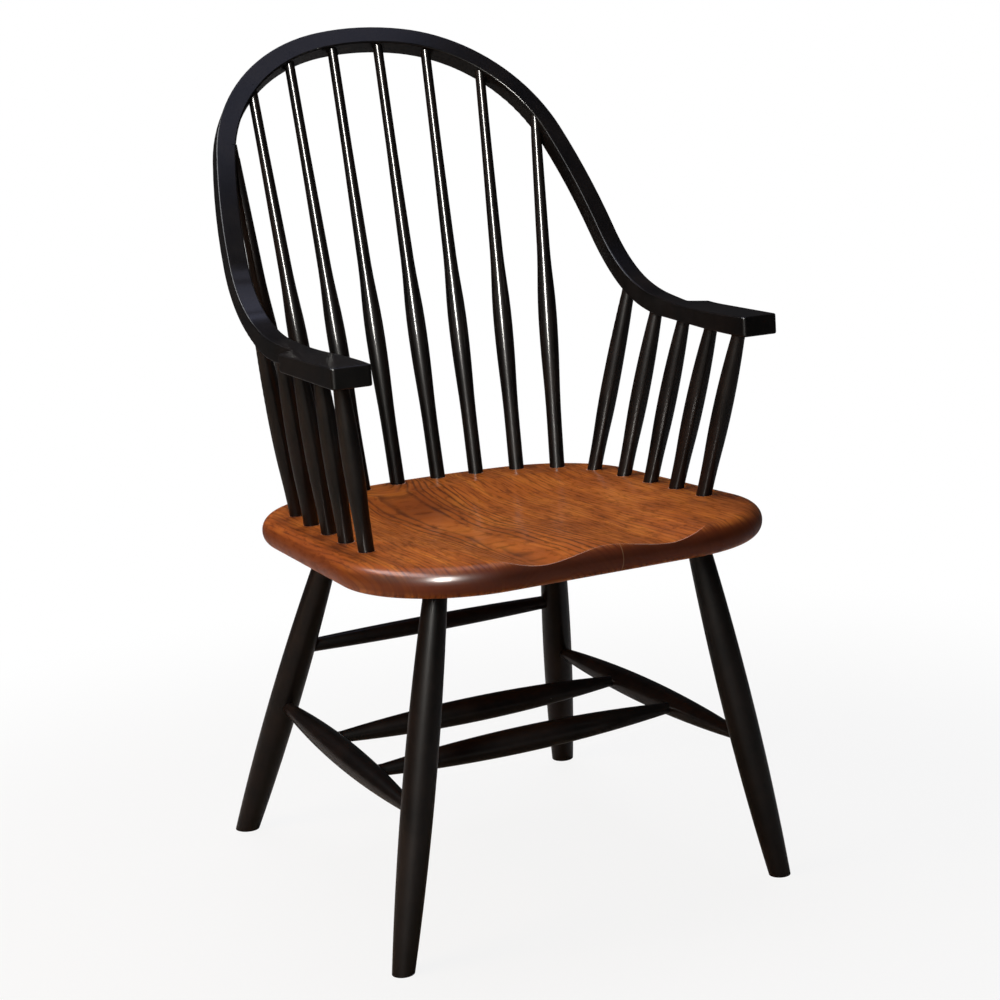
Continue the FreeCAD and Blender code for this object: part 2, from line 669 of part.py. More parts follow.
outline_edges = []
for name, side in SIDES:
    for shift in (-HALF_WIDTH, HALF_WIDTH):
        outline_edges += flipped(run(crown, 0, straight_steps, shift)[0], side)
    ends = [Vector(side * (FLANK_X + shift), elbow_rise, 0) for shift in (-HALF_WIDTH, HALF_WIDTH)]
    outline_edges.append(Part.LineSegment(*ends).toShape())
back_face = joined_face(outline_edges)
back_face.Placement = Placement(SLOPE_FOOT - BEHIND * TOP_RISE,
                                Rotation(Vector(1, 0, 0), 90 - size["bow_lean"]))
back_prism = back_face.extrude(BEHIND * (2 * TOP_RISE))

# the arm's outline from above, from the elbow to past its tip
arm_steps = (
    (ELBOW_Y - STRAIGHT_Y,),
    (size["arm_inward_radius"], -size["arm_inward_turn"]),
    (size["arm_inward_length"],),
    (size["arm_outward_radius"], size["arm_outward_turn"]),
    (size["arm_outward_length"],),
)
elbow_plan = Vector(FLANK_X, ELBOW_Y, 0)


def wall(shift):
    """One wall of the right arm seen from above, shift being positive outwards."""
    return run(elbow_plan, -90, arm_steps, shift)[0]


def wall_at(y, shift):
    """Where that wall stands at y."""
    across = Part.LineSegment(Vector(-X_WIDE, y, 0), Vector(X_WIDE, y, 0)).toShape()
    for edge in wall(shift):
        distance, points, info = edge.distToShape(across)
        if distance < TOUCHING:
            return points[0][0]


def polygon(points):
    return Part.Face(Part.makePolygon([*points, points[0]]))


def upright(face, side):
    """A solid of the given plan, higher than the arms."""
    solid = face.extrude(Vector(0, 0, 2 * deck))
    return solid if side > 0 else solid.mirror(Vector(0, 0, 0), Vector(1, 0, 0))


inner, outer = wall(-HALF_WIDTH), wall(HALF_WIDTH)
caps = [Part.LineSegment(a.Point, b.Point).toShape() for a, b in (
    (inner[0].firstVertex(True), outer[0].firstVertex(True)),
    (inner[-1].lastVertex(True), outer[-1].lastVertex(True)))]
arm_face = joined_face([*inner, *outer, *caps])
tip = wall_at(TIP_Y, HALF_WIDTH) + Vector(size["hand_tip_width"], 0, 0)


def hand_plan(name):
    """A hand block seen from above, and its two back corners: at the arm and at full width."""
    full_y = TIP_Y + size[f"{name}_hand_length"]
    scarf = wall_at(full_y + size["hand_scarf_length"], HALF_WIDTH)
    full = wall_at(full_y, HALF_WIDTH) + Vector(size[f"{name}_hand_back_width"], 0, 0)
    past_tip = tip + (tip - full).normalize() * size["bow_width"]
    inside = [wall_at(y, 0) for y in (past_tip.y, TIP_Y, full_y)]
    return polygon((scarf, full, past_tip, *inside)), scarf, full


far_x = Vector(X_WIDE, 0, 0)
outside_edges = [*outer]
outside_start, outside_end = outer[0].firstVertex(True).Point, outer[-1].lastVertex(True).Point
outside_edges += list(Part.makePolygon([outside_start, outside_start + far_x,
                                        outside_end + far_x, outside_end]).Edges)
outside_face = joined_face(outside_edges)

outlines = [back_prism]
tip_inner = wall_at(TIP_Y, -HALF_WIDTH)
hand_corners = []
back_corners = []
for name, side in SIDES:
    hand_face, scarf, full = hand_plan(name)
    outlines += [upright(arm_face, side), upright(hand_face, side)]
    hand_corners += [mirrored(point, side) for point in (tip_inner, tip, scarf)]
    back_corners.append(mirrored(full, side))
blank = side_band.common(outlines[0].fuse(outlines[1:])).removeSplitter()


def standing_edges(shape, points):
    """The straight vertical edges of a shape at these places seen from above."""
    found = []
    for edge in shape.Edges:
        middle = edge.CenterOfMass
        ends = [vertex.Point for vertex in edge.Vertexes]
        if len(ends) < 2 or math.hypot(ends[0].x - ends[1].x, ends[0].y - ends[1].y) > TOUCHING:
            continue
        if any(math.hypot(middle.x - point.x, middle.y - point.y) < NEAR for point in points):
            found.append(edge)
    return found


blank = blank.makeFillet(size["hand_corner"], standing_edges(blank, hand_corners))
blank = blank.makeFillet(size["hand_back_corner"], standing_edges(blank, back_corners))


def face_normal(face, point):
    return face.normalAt(*face.Surface.parameter(point))


def sharp_edges(shape):
    """The edges whose two faces meet at an angle, and not smoothly."""
    found = []
    for edge in shape.Edges:
        faces = shape.ancestorsOfType(edge, Part.Face)
        if len(faces) < 2:
            continue
        point = edge.valueAt((edge.FirstParameter + edge.LastParameter) / 2)
        if face_normal(faces[0], point).getAngle(face_normal(faces[1], point)) > SHARP:
            found.append(edge)
    return found


edges = sharp_edges(blank)
rounded = blank.makeFillet(size["edge_round"], edges)


def shaped(name, shape):
    """An object that holds a shape worked out above."""
    feature = doc.addObject("Part::Feature", name)
    feature.Shape = shape
    return feature


strip = rounded
for name, side in SIDES:
    beside = upright(outside_face, side)
    keep(shaped(f"{name}_hand_block", rounded.common(beside)), f"{name}_hand_block")
    strip = strip.cut(beside)
bow_strip = shaped("bow_strip", strip)

# Spindles: each stands in the seat and ends inside the bow.
bow_sockets = []


def stand_spindle(label, kind, foot, seat_in_bow):
    """A spindle from its foot on the seat to where its axis enters the bow."""
    way = (seat_in_bow - foot).normalize()
    high = seat_in_bow + way * size[f"{kind}_spindle_bow_depth"]
    worked_out(f"{label}_length", (high - foot).Length)
    keep(turned_spindle(label, kind, foot, high), label)
    gap = way * size["socket_end_gap"]
    bottom = foot - way * size["spindle_seat_depth"] - gap
    above = foot + way * size["seat_thickness"]
    seat_sockets.append(socket(label + "_seat_socket", f"{kind}_spindle_foot_diameter", above, bottom))
    before = seat_in_bow - way * size["bow_width"]
    bow_sockets.append(socket(label + "_bow_socket", f"{kind}_spindle_tip_diameter", before, high + gap))


def crown_rise(x):
    """How far up the slope the inner wall of the crest stands at x."""
    upright_line = Part.LineSegment(Vector(x, 0, 0), Vector(x, TOP_RISE, 0)).toShape()
    for edge in run(crown, 0, crown_steps, -HALF_WIDTH)[0]:
        distance, points, info = edge.distToShape(upright_line)
        if distance < TOUCHING:
            return points[0][0].y


for name, side in SIDES:
    for number in range(1, len(SHORT_SPINDLES) + 1):
        label = f"{name}_short_spindle_{number}"
        setback = size[f"short_spindle_{number}_setback"]
        foot = Vector(size[f"short_spindle_{number}_spread"], from_front(setback), deck)
        arm_y = from_front(size[f"{label}_arm_setback"])
        in_arm = wall_at(arm_y, 0) if arm_y < ELBOW_Y else Vector(FLANK_X, arm_y, 0)
        in_arm.z = arm_underside(arm_y)
        stand_spindle(label, "short", mirrored(foot, side), mirrored(in_arm, side))
    for number in range(1, len(LONG_SPINDLES) + 1):
        label = f"{name}_long_spindle_{number}"
        setback = size["seat_depth"] - size[f"long_spindle_{number}_inset"]
        foot = Vector(size[f"long_spindle_{number}_spread"], from_front(setback), deck)
        bow_x = size[f"{label}_bow_spread"]
        middle = BEHIND * (size["bow_thickness"] / 2) + Vector(bow_x, 0, 0)
        in_bow = SLOPE_FOOT + UP_SLOPE * crown_rise(bow_x) + middle
        stand_spindle(label, "long", mirrored(foot, side), mirrored(in_bow, side))
cut(bow_strip, bow_sockets, "bow")

# Seat: one blank, dished and bored, then sawn along the glue lines into its boards.
blank_body = doc.addObject("PartDesign::Body", "seat_blank")
sketch = attached_sketch(blank_body, "XY_Plane", "seat_outline")
front_half, back_half = size["seat_front_width"] / 2, size["seat_back_width"] / 2
side_depth = size["seat_depth"] - size["seat_back_bulge"]
bulge = size["seat_back_bulge"]
back_radius = (back_half ** 2 + bulge ** 2) / (2 * bulge)
back_turn = math.degrees(math.asin(back_half / back_radius))
draw(sketch, (
    (line(-front_half, 0, front_half, 0), START, END, False),
    (line(front_half, 0, back_half, side_depth), START, END, False),
    (arc(0, size["seat_depth"] - back_radius, back_radius, 90 - back_turn, 90 + back_turn),
     START, END, False),
    (line(-back_half, side_depth, -front_half, 0), START, END, False),
))
sketch.addConstraint(Sketcher.Constraint("PointOnObject", 0, START, X_AXIS))
sketch.addConstraint(Sketcher.Constraint("Symmetric", 0, START, 0, END, Y_AXIS))
sketch.addConstraint(Sketcher.Constraint("Symmetric", 2, START, 2, END, Y_AXIS))
hold(sketch, "DistanceX", (*ORIGIN, 0, END), "Sizes.seat_front_width / 2", front_half)
hold(sketch, "DistanceX", (*ORIGIN, 1, END), "Sizes.seat_back_width / 2", back_half)
hold(sketch, "DistanceY", (*ORIGIN, 1, END), "Sizes.seat_depth - Sizes.seat_back_bulge", side_depth)
bulge_text = "((Sizes.seat_back_width / 2)^2 + Sizes.seat_back_bulge^2) / (2 * Sizes.seat_back_bulge)"
hold(sketch, "Radius", (2,), bulge_text, back_radius)
slab = blank_body.newObject("PartDesign::Pad", "seat_slab")
slab.Profile = sketch
slab.Reversed = True
slab.setExpression("Length", "Sizes.seat_thickness")
blank_body.Placement.Base = Vector(0, size["seat_front_y"], deck)
blank_body.setExpression("Placement.Base.y", "Sizes.seat_front_y")
blank_body.setExpression("Placement.Base.z", "Sizes.seat_height")
doc.recompute()


def edge_names(feature, wanted):
    """The names of the feature's edges that a test picks."""
    return [f"Edge{index}" for index, edge in enumerate(feature.Shape.Edges, 1) if wanted(edge)]


def upright_at(half_width, depth):
    def wanted(edge):
        middle = edge.CenterOfMass
        return abs(abs(middle.x) - half_width) < 1 and abs(middle.y - depth) < 1
    return wanted


def rounding(base, name, wanted, alias):
    fillet = blank_body.newObject("PartDesign::Fillet", name)
    fillet.Base = (base, edge_names(base, wanted))
    fillet.setExpression("Radius", f"Sizes.{alias}")
    blank_body.Tip = fillet
    doc.recompute()
    return fillet


def level(edge):
    return edge.BoundBox.ZLength < NEAR


corners = rounding(slab, "seat_front_corners", upright_at(front_half, 0), "seat_front_corner")
corners = rounding(corners, "seat_back_corners", upright_at(back_half, side_depth), "seat_back_corner")
rounding(corners, "seat_round_edge", level, "seat_edge_round")


# The dish: a bowl that runs out forwards into two thigh hollows beside the pommel. Where the
# surface stands above the deck it cuts nothing, so the rim is where it comes up through it.
RIM = 4.0
HOLLOW_EASE = 0.6


def smooth(part):
    part = min(max(part, 0.0), 1.0)
    return part * part * (3 - 2 * part)


def bowl(x, setback):
    """Depth of the bowl; its rim is where this is nothing."""
    full = size["dish_depth"] + RIM
    flat = math.log(full / RIM) ** -0.25
    across = x / (size["dish_width"] / 2 * flat)
    behind = max(setback - size["dish_middle_setback"], 0)
    along_seat = behind / ((size["dish_back_setback"] - size["dish_middle_setback"]) * flat)
    return full * math.exp(-across ** 4 - along_seat ** 4) - RIM


def hollows(x):
    """Depth of the thigh hollows at the front edge."""
    middle = size["thigh_hollow_spacing"] / 2
    deepest = size["thigh_hollow_depth"]
    beside = (abs(x) - middle) / (HOLLOW_EASE * middle)
    if beside < 0:
        return deepest - (deepest - size["pommel_drop"]) * smooth(1 - abs(x) / middle)
    return (deepest + RIM) * math.exp(-beside ** 2) - RIM


def dish_height(x, setback):
    forward = smooth(1 - setback / size["dish_middle_setback"])
    return deck - (1 - forward) * bowl(x, setback) - forward * hollows(x)


GRID = 20
columns = math.ceil(size["seat_front_width"] / 2 / GRID) + 2
rows = math.ceil(size["seat_depth"] / GRID) + 2
points = [[Vector(i * GRID, from_front(j * GRID), dish_height(i * GRID, j * GRID))
           for j in range(-2, rows + 1)] for i in range(-columns, columns + 1)]
surface = Part.BSplineSurface()
surface.interpolate(points)
dish = shaped("dish", surface.toShape().extrude(Vector(0, 0, 2 * size["seat_thickness"])))

carved = doc.addObject("Part::Cut", "carved_seat")
carved.Base = blank_body
carved.Tool = dish
bores = doc.addObject("Part::MultiFuse", "seat_bores")
bores.Shapes = seat_sockets
bored = doc.addObject("Part::Cut", "bored_seat")
bored.Base = carved
bored.Tool = bores

joint = size["seat_first_joint"]
width = size["seat_board_width"]
joints = [joint + count * width for count in (-1, 0, 1)]
edges_of_boards = [-front_half, *joints, front_half]
for number, (left_x, right_x) in enumerate(zip(edges_of_boards, edges_of_boards[1:]), 1):
    board = doc.addObject("Part::Box", f"seat_board_{number}_box")
    board.Length = right_x - left_x
    board.setExpression("Width", "Sizes.seat_depth")
    board.setExpression("Height", "Sizes.seat_thickness")
    board.Placement.Base = Vector(left_x, size["seat_front_y"], underside)
    sawn = doc.addObject("Part::Common", f"seat_board_{number}")
    sawn.Base = bored
    sawn.Tool = board
    keep(sawn, f"seat_board_{number}")

doc.recompute()
for item in doc.Objects:
    if "Invalid" in item.State or "Error" in item.State:
        raise RuntimeError(f"{item.Label}: {item.State}")
os.makedirs("parts", exist_ok=True)
for label, piece in pieces.items():
    shape = piece.Shape
    if shape.isNull() or not shape.isValid() or not shape.Solids:
        raise RuntimeError(f"{label} is not a valid solid")
    shape.exportStep(f"parts/{label}.step")
    print(f"{label}: {len(shape.Solids)} solid, {shape.Volume / 1000:.1f} cm3")
whole = FreeCAD.BoundBox()
for piece in pieces.values():
    whole.add(piece.Shape.optimalBoundingBox(False))
print(len(pieces), "pieces,", whole)
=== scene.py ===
import math
import bpy
from mathutils import Matrix, Vector


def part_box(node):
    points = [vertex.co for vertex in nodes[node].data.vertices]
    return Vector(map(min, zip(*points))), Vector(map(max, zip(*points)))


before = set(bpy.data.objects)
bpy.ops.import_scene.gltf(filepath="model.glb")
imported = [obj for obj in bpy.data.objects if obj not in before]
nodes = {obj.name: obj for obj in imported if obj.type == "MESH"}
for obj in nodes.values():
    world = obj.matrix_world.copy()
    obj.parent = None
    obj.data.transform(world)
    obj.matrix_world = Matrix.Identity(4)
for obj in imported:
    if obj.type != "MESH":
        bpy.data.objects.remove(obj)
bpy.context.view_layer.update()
print("armchair frame:", len(nodes), "wooden pieces")

scene = bpy.context.scene
scene.view_settings.view_transform = "Standard"
perMetre = 1000  # millimetres in a metre, for the scales of the patterns


def toLinear(hexColour):
    # sRGB hex as a painter writes it, turned to the linear values that the shader wants
    parts = [int(hexColour[i:i + 2], 16) / 255 for i in (1, 3, 5)]
    return [c / 12.92 if c < 0.04045 else ((c + 0.055) / 1.055) ** 2.4 for c in parts] + [1.0]


def addNode(tree, kind, inputs=None, settings=None, stops=None, output=0):
    # inputs are socket: value or another node's output, settings the node's own properties,
    # stops a ramp's places with a colour or a grey, its two ends first; gives back one of the
    # node's outputs. A Mix node's sockets go by number: 0 is the share, 2 and 3 are its two
    # numbers, 6 and 7 its two colours.
    node = tree.nodes.new("ShaderNode" + kind)
    for name, value in (settings or {}).items():
        setattr(node, name, value)
    for name, value in (inputs or {}).items():
        socket = node.inputs[name]
        if isinstance(value, bpy.types.NodeSocket):
            tree.links.new(value, socket)
        else:
            socket.default_value = value
    for index, (place, colour) in enumerate(stops or ()):
        elements = node.color_ramp.elements
        element = elements[index] if index < 2 else elements.new(place)
        element.position = place
        element.color = toLinear(colour) if isinstance(colour, str) else (colour, colour, colour, 1)
    return node.outputs[output]


def newMaterial(name, shaderSettings):
    material = bpy.data.materials.new(name)
    material.use_nodes = True
    tree = material.node_tree
    shader = tree.nodes["Principled BSDF"]
    for socket, value in shaderSettings.items():
        shader.inputs[socket].default_value = value
    return material, tree, shader


# Camera: where the photograph was taken from, worked out from the chair's own symmetry
camera = {
    "place": (-0.9942, -2.1665, 0.9214),
    "yaw": 25.191,    # degrees, turned from +Y towards +X
    "pitch": 11.015,  # degrees, looking down
    "roll": -3.970,
    "focal": 1999.4,  # in pixels of the picture
    "picture": 1000,  # its width in pixels
    "sensor": 36.0,   # in millimetres
    "farthest": 50,   # metres
}


def addCamera(shot):
    yaw, pitch, roll = (math.radians(shot[key]) for key in ("yaw", "pitch", "roll"))
    forward = Vector((math.sin(yaw) * math.cos(pitch), math.cos(yaw) * math.cos(pitch), -math.sin(pitch)))
    level = Vector((math.cos(yaw), -math.sin(yaw), 0))
    up = level.cross(forward)
    right = math.cos(roll) * level + math.sin(roll) * up
    top = math.cos(roll) * up - math.sin(roll) * level
    turn = Matrix((right, top, -forward)).transposed().to_4x4()
    data = bpy.data.cameras.new("camera")
    data.sensor_width = shot["sensor"]
    data.lens = shot["sensor"] * shot["focal"] / shot["picture"]
    data.clip_end = shot["farthest"]
    view = bpy.data.objects.new("camera", data)
    view.matrix_world = Matrix.Translation(shot["place"]) @ turn
    scene.collection.objects.link(view)
    scene.camera = view


addCamera(camera)
print("camera set")

# Studio: a cool softbox over the chair, soft warm daylight from its left, and a dim room. These
# shade the chair. Its lacquer mirrors four others: a wide and a narrow patch of sky overhead, a
# slim upright strip beside the camera, and a long one high on the left that draws the bow's edge.
# What the camera sees of the room is white.
studio = {
    "ceiling": {"size": (1.5, 1.5), "power": 40, "place": (0.10, 0.25, 2.70), "aim": (0, 0.1, 0.45),
                "colour": "#F4F6FF", "shade": True, "shine": False},
    "sky": {"size": (2.1, 2.1), "power": 26, "place": (0.10, 0.25, 2.70), "aim": (0, 0.1, 0.45),
            "colour": "#D3D9FF", "shade": False, "shine": True},
    "skyCore": {"size": (1.2, 1.2), "power": 9, "place": (0.10, 0.25, 2.68), "aim": (0, 0.1, 0.45),
                "colour": "#D3D9FF", "shade": False, "shine": True},
    "window": {"size": (1.6, 1.6), "power": 54, "place": (-2.45, -0.10, 1.35), "aim": (0, 0, 0.60),
               "colour": "#FFE2C0", "shade": True, "shine": False},
    "strip": {"size": (0.54, 1.20), "power": 480, "place": (-1.50, -1.96, 1.55), "aim": (0, 0, 0.85),
              "colour": "#FFFCF6", "shade": False, "shine": True},
    "edge": {"size": (3.4, 0.9), "power": 170, "place": (-1.65, 0.15, 2.65), "aim": (0, 0.1, 0.75),
             "colour": "#F6F9FF", "shade": False, "shine": True},
    "roomColour": "#E9EEF8",
    "roomStrength": 0.042,
    "white": "#FFFFFF",
    "whiteStrength": 1.0,
    "sweepTop": 0.0,       # how far above the horizon the white sweep stands, as a slope
    "sweepShine": 0.05,    # how much of the sweep's white the lacquer mirrors
    "sweepFrom": 0.4,      # metres behind the chair's middle: the floor is mirrored white from here,
    "sweepTo": 2.0,        # and fully so from here
    "floorColour": "#C4C4C3",
    "floorRoughness": 0.9,
    "floorSpecular": 0.1,
    "floorReach": 9.0,     # metres to each side
    "floorGlow": 0.88,     # share of plain white that the camera sees on the floor near the chair
    "fadeFrom": 0.5,       # metres from the chair's middle: the floor turns white from here,
    "fadeTo": 1.5,         # and is white from here
}


def addLamp(name, lamp):
    data = bpy.data.lights.new(name, "AREA")
    data.shape = "ELLIPSE"
    data.size, data.size_y = lamp["size"]
    data.energy = lamp["power"]
    data.color = toLinear(lamp["colour"])[:3]
    light = bpy.data.objects.new(name, data)
    light.location = lamp["place"]
    light.rotation_euler = (Vector(lamp["aim"]) - Vector(lamp["place"])).to_track_quat("-Z", "Y").to_euler()
    light.visible_camera = False
    light.visible_diffuse = lamp["shade"]
    light.visible_glossy = lamp["shine"]
    scene.collection.objects.link(light)


def paintRoom():
    world = bpy.data.worlds.new("studioRoom")
    scene.world = world
    world.use_nodes = True
    tree = world.node_tree
    room = tree.nodes["Background"]
    room.inputs["Color"].default_value = toLinear(studio["roomColour"])
    room.inputs["Strength"].default_value = studio["roomStrength"]
    # shiny things see the white sweep too, where it stands: low, behind the chair
    upwards = addNode(tree, "SeparateXYZ", {0: addNode(tree, "TexCoord")}, output=2)
    low = addNode(tree, "Math", {0: upwards, 1: studio["sweepTop"]}, {"operation": "LESS_THAN"})
    rays = addNode(tree, "LightPath").node.outputs
    clear = addNode(tree, "Math", {0: rays["Is Glossy Ray"], 1: rays["Is Transmission Ray"]},
                    {"operation": "MAXIMUM"})
    sweep = addNode(tree, "Math", {0: clear, 1: low}, {"operation": "MULTIPLY"})
    sweep = addNode(tree, "Math", {0: sweep, 1: studio["sweepShine"]}, {"operation": "MULTIPLY"})
    seen = addNode(tree, "Math", {0: rays["Is Camera Ray"], 1: sweep}, {"operation": "MAXIMUM"})
    white = addNode(tree, "Background", {"Color": toLinear(studio["white"]),
                                         "Strength": studio["whiteStrength"]})
    both = addNode(tree, "MixShader", {0: seen, 1: room.outputs[0], 2: white})
    tree.links.new(both, tree.nodes["World Output"].inputs["Surface"])


def addFloor():
    # a pale sweep that turns to the white of the room where it runs out of the picture
    bpy.ops.object.select_all(action="DESELECT")
    bpy.ops.mesh.primitive_plane_add(size=2 * studio["floorReach"], location=(0, 0, 0))
    plane = bpy.context.object
    plane.name = "floor"
    floorPaint, tree, shader = newMaterial("paleStudioFloor", {
        "Base Color": toLinear(studio["floorColour"]), "Roughness": studio["floorRoughness"],
        "Specular IOR Level": studio["floorSpecular"]})
    place = addNode(tree, "TexCoord", output=3)
    spread = addNode(tree, "VectorMath", {0: place}, {"operation": "LENGTH"}, output=1)
    fade = addNode(tree, "MapRange", {
        "Value": spread, "From Min": studio["fadeFrom"], "From Max": studio["fadeTo"],
        "To Min": studio["floorGlow"], "To Max": 1.0}, {"interpolation_type": "SMOOTHSTEP"})
    rays = addNode(tree, "LightPath").node.outputs
    clear = addNode(tree, "Math", {0: rays["Is Glossy Ray"], 1: rays["Is Transmission Ray"]},
                    {"operation": "MAXIMUM"})
    # shiny things see the white part only behind the chair, where the camera looks
    backwards = addNode(tree, "SeparateXYZ", {0: place}, output=1)
    behind = addNode(tree, "MapRange", {
        "Value": backwards, "From Min": studio["sweepFrom"], "From Max": studio["sweepTo"],
        "To Max": studio["sweepShine"]})
    mirrored = addNode(tree, "Math", {0: clear, 1: behind}, {"operation": "MULTIPLY"})
    seen = addNode(tree, "Math", {0: rays["Is Camera Ray"], 1: mirrored}, {"operation": "MAXIMUM"})
    glow = addNode(tree, "Emission", {"Color": toLinear(studio["white"]),
                                      "Strength": studio["whiteStrength"]})
    share = addNode(tree, "Math", {0: fade, 1: seen}, {"operation": "MULTIPLY"})
    both = addNode(tree, "MixShader", {0: share, 1: shader.outputs[0], 2: glow})
    tree.links.new(both, tree.nodes["Material Output"].inputs["Surface"])
    plane.data.materials.append(floorPaint)
    return plane


for lampName in ("ceiling", "sky", "skyCore", "window", "strip", "edge"):
    addLamp(lampName, studio[lampName])
paintRoom()
floor = addFloor()
print("studio set")

# Black lacquer: sprayed over turned and bent hardwood. A warm near-black, brown where the light
# rakes it, satin with a thin clear coat, and the odd speck of dust under the last coat.
blackLacquer = {
    "deep": "#0A0503",
    "thin": "#1B0F07",
    "deepAt": 0.35,       # how strong a cloud is where the colour is deep, and where it is thin
    "thinAt": 0.75,
    "cloudMm": 55,
    "cloudDetail": 4,
    "cloudRoughness": 0.6,
    "roughness": 0.42,    # under the clear coat, with how much less a weak cloud has, how much
    "smoother": 0.04,     # more a strong one has, and how strong these two are
    "rougher": 0.06,
    "smoothAt": 0.3,
    "roughAt": 0.7,
    "specular": 0.05,
    "coat": 0.26,
    "coatRoughness": 0.15,
    "peelMm": 1.6,        # orange peel of the spray
    "peelDetail": 2,
    "peelDepthMm": 0.007,
    "peelStrength": 0.4,
    "speckMm": 22,        # one speck in a cell of this size, and only in a few cells
    "speckShare": 0.06,
    "speckEdge": 0.035,   # where a speck ends and where it is full, as shares of its cell
    "speckFull": 0.012,
    "speck": "#7A7068",
}
# the bow and its hand blocks took one coat more, and are a cooler black
bowLacquer = dict(blackLacquer, deep="#060404", thin="#120C08", coat=0.22)


def makeBlackLacquer(name, paint, seed):
    material, tree, shader = newMaterial(name, {
        "Roughness": paint["roughness"], "Specular IOR Level": paint["specular"],
        "Coat Weight": paint["coat"], "Coat Roughness": paint["coatRoughness"]})
    # each seed sprays another part of the same pattern
    place = addNode(tree, "Mapping", {"Vector": addNode(tree, "TexCoord", output=3),
                                      "Location": (seed, seed / 3, 0)})
    cloud = addNode(tree, "TexNoise", {
        "Vector": place, "Scale": perMetre / paint["cloudMm"],
        "Detail": paint["cloudDetail"], "Roughness": paint["cloudRoughness"]})
    body = addNode(tree, "ValToRGB", {0: cloud}, stops=[(paint["deepAt"], paint["deep"]),
                                                        (paint["thinAt"], paint["thin"])])
    dust = addNode(tree, "TexVoronoi", {"Vector": place, "Scale": perMetre / paint["speckMm"]})
    dot = addNode(tree, "MapRange", {"Value": dust, "From Min": paint["speckEdge"],
                                     "From Max": paint["speckFull"]})
    pick = addNode(tree, "SeparateColor", {0: dust.node.outputs["Color"]})
    chosen = addNode(tree, "Math", {0: pick, 1: 1 - paint["speckShare"]}, {"operation": "GREATER_THAN"})
    speckle = addNode(tree, "Math", {0: dot, 1: chosen}, {"operation": "MULTIPLY"})
    colour = addNode(tree, "Mix", {0: speckle, 6: body, 7: toLinear(paint["speck"])},
                     {"data_type": "RGBA"}, output=2)
    tree.links.new(colour, shader.inputs["Base Color"])
    rough = addNode(tree, "MapRange", {
        "Value": cloud, "From Min": paint["smoothAt"], "From Max": paint["roughAt"],
        "To Min": paint["roughness"] - paint["smoother"],
        "To Max": paint["roughness"] + paint["rougher"]})
    tree.links.new(rough, shader.inputs["Roughness"])
    peel = addNode(tree, "TexNoise", {"Vector": place, "Scale": perMetre / paint["peelMm"],
                                      "Detail": paint["peelDetail"]})
    bump = addNode(tree, "Bump", {"Height": peel, "Strength": paint["peelStrength"],
                                  "Distance": paint["peelDepthMm"] / perMetre})
    tree.links.new(bump, shader.inputs["Normal"])
    return material


